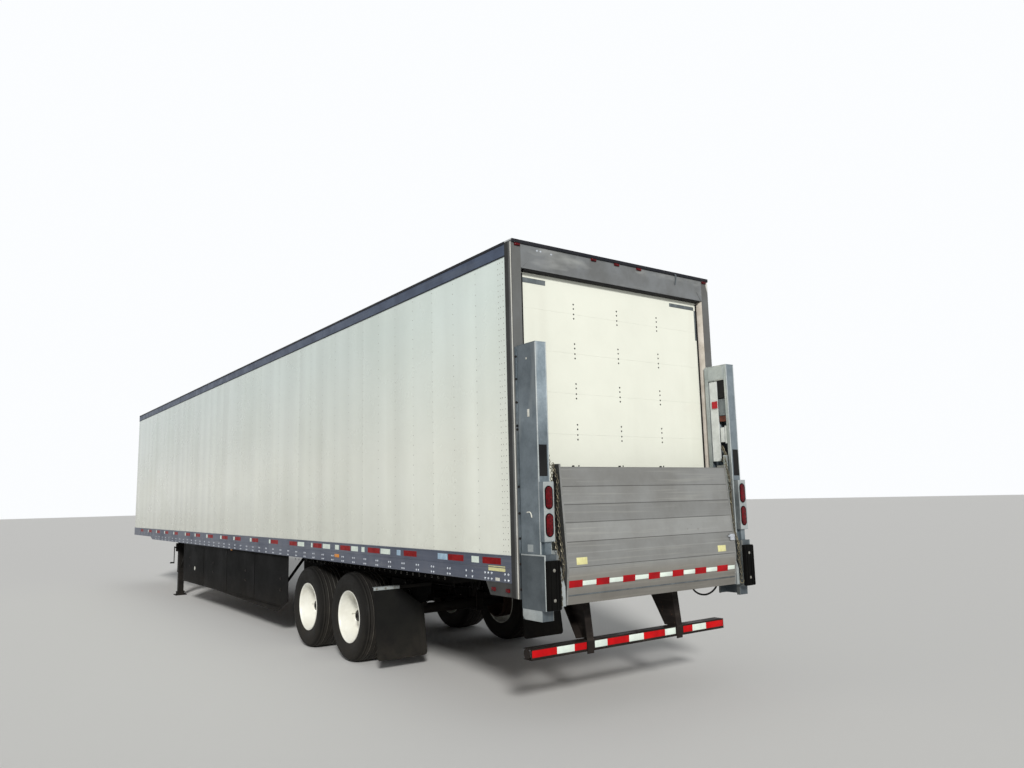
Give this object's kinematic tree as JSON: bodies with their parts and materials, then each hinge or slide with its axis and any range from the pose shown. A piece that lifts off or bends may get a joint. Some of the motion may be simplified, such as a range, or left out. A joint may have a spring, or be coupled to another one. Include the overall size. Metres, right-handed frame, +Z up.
{
  "type": "semi trailer",
  "caption": "Closed van semi trailer with landing legs, side skirts, wide single tyres and a column lift whose platform is stowed upright behind the roll-up door.",
  "frame": {"origin": "on the road, under the middle of the trailer's overall length and width", "axes": "+X forward to the nose, +Y to the left, +Z up"},
  "size_m": [16.602, 2.615, 4.115],
  "materials": {
    "white_panel": "satin white sheet, slightly dirty",
    "roof_sheet": "satin sheet",
    "rail": "satin blue-grey, dusty",
    "top_rail": "satin dark grey",
    "rear_frame": "weathered grey",
    "door_panel": "satin white",
    "floor_wood": "laminated boards",
    "chassis_steel": "dark chassis paint, dusty",
    "coupler_steel": "bare steel, greased",
    "galvanised": "galvanised, dull",
    "column_steel": "galvanised, weathered",
    "platform_metal": "dull, scratched",
    "skirt_panel": "matt black composite",
    "flap_rubber": "matt black",
    "bumper_rubber": "matt black",
    "hose_rubber": "black",
    "tyre": "dusty black",
    "wheel_white": "white enamel, dusty",
    "lamp_red": "clear red lens",
    "chain_steel": "bare chain, dull",
    "box_black": "black, dusty",
    "cylinder_paint": "pale grey",
    "spring_rubber": "matt black"
  },
  "bodies": {
    "trailer": {"floor_deck": "floor_wood", "crossmembers": "chassis_steel", "bottom_rails": "rail", "side_walls": "white_panel", "top_rails": "top_rail", "roof_panel": "roof_sheet", "nose_wall": "white_panel", "nose_rails": "rail", "rear_posts": "rear_frame", "rear_cross_rails": "rear_frame", "door_panels": "door_panel", "upper_coupler": "coupler_steel", "kingpin": "coupler_steel", "front_connectors": "box_black", "landing_legs": "box_black", "landing_braces": "chassis_steel", "side_skirts": "skirt_panel", "body_slide_rails": "chassis_steel", "slider_frame": "chassis_steel", "trailing_arms": "chassis_steel", "air_springs": "spring_rubber", "shock_absorbers": "chassis_steel", "axles": "chassis_steel", "air_tanks": "chassis_steel", "mud_flaps": "flap_rubber", "flap_hangers": "galvanised", "rear_guard": "box_black", "lift_columns": "column_steel", "lift_cylinders": "cylinder_paint", "dock_bumpers": "bumper_rubber", "lamps": "lamp_red", "hanging_hose": "hose_rubber", "power_box": "box_black"},
    "wheel_body_rear_left": {"tyre_rear_left": "tyre", "wheel_rear_left": "wheel_white"},
    "wheel_body_rear_right": {"tyre_rear_right": "tyre", "wheel_rear_right": "wheel_white"},
    "wheel_body_front_left": {"tyre_front_left": "tyre", "wheel_front_left": "wheel_white"},
    "wheel_body_front_right": {"tyre_front_right": "tyre", "wheel_front_right": "wheel_white"},
    "lift": {"lift_carriage": "column_steel", "platform_chains": "chain_steel"},
    "platform": {"platform_planks": "platform_metal", "platform_sides": "column_steel"}
  },
  "joints": [
    {"name": "wheel_turn_rear_left", "type": "hinge", "parent": "trailer", "child": "wheel_body_rear_left", "pos_m": [-4.461, 1.077, 0.509], "axis": [0, 1, 0], "continuous": true},
    {"name": "wheel_turn_rear_right", "type": "hinge", "parent": "trailer", "child": "wheel_body_rear_right", "pos_m": [-4.461, -1.077, 0.509], "axis": [0, 1, 0], "continuous": true},
    {"name": "wheel_turn_front_left", "type": "hinge", "parent": "trailer", "child": "wheel_body_front_left", "pos_m": [-3.191, 1.077, 0.509], "axis": [0, 1, 0], "continuous": true},
    {"name": "wheel_turn_front_right", "type": "hinge", "parent": "trailer", "child": "wheel_body_front_right", "pos_m": [-3.191, -1.077, 0.509], "axis": [0, 1, 0], "continuous": true},
    {"name": "lift_slide", "type": "slide", "parent": "trailer", "child": "lift", "axis": [0, 0, 1], "range_m": [-0.93, 0.181]},
    {"name": "platform_fold", "type": "hinge", "parent": "lift", "child": "platform", "pos_m": [-8.191, 0, 1.035], "axis": [0, -1, 0], "range_deg": [0, 90]}
  ]
}
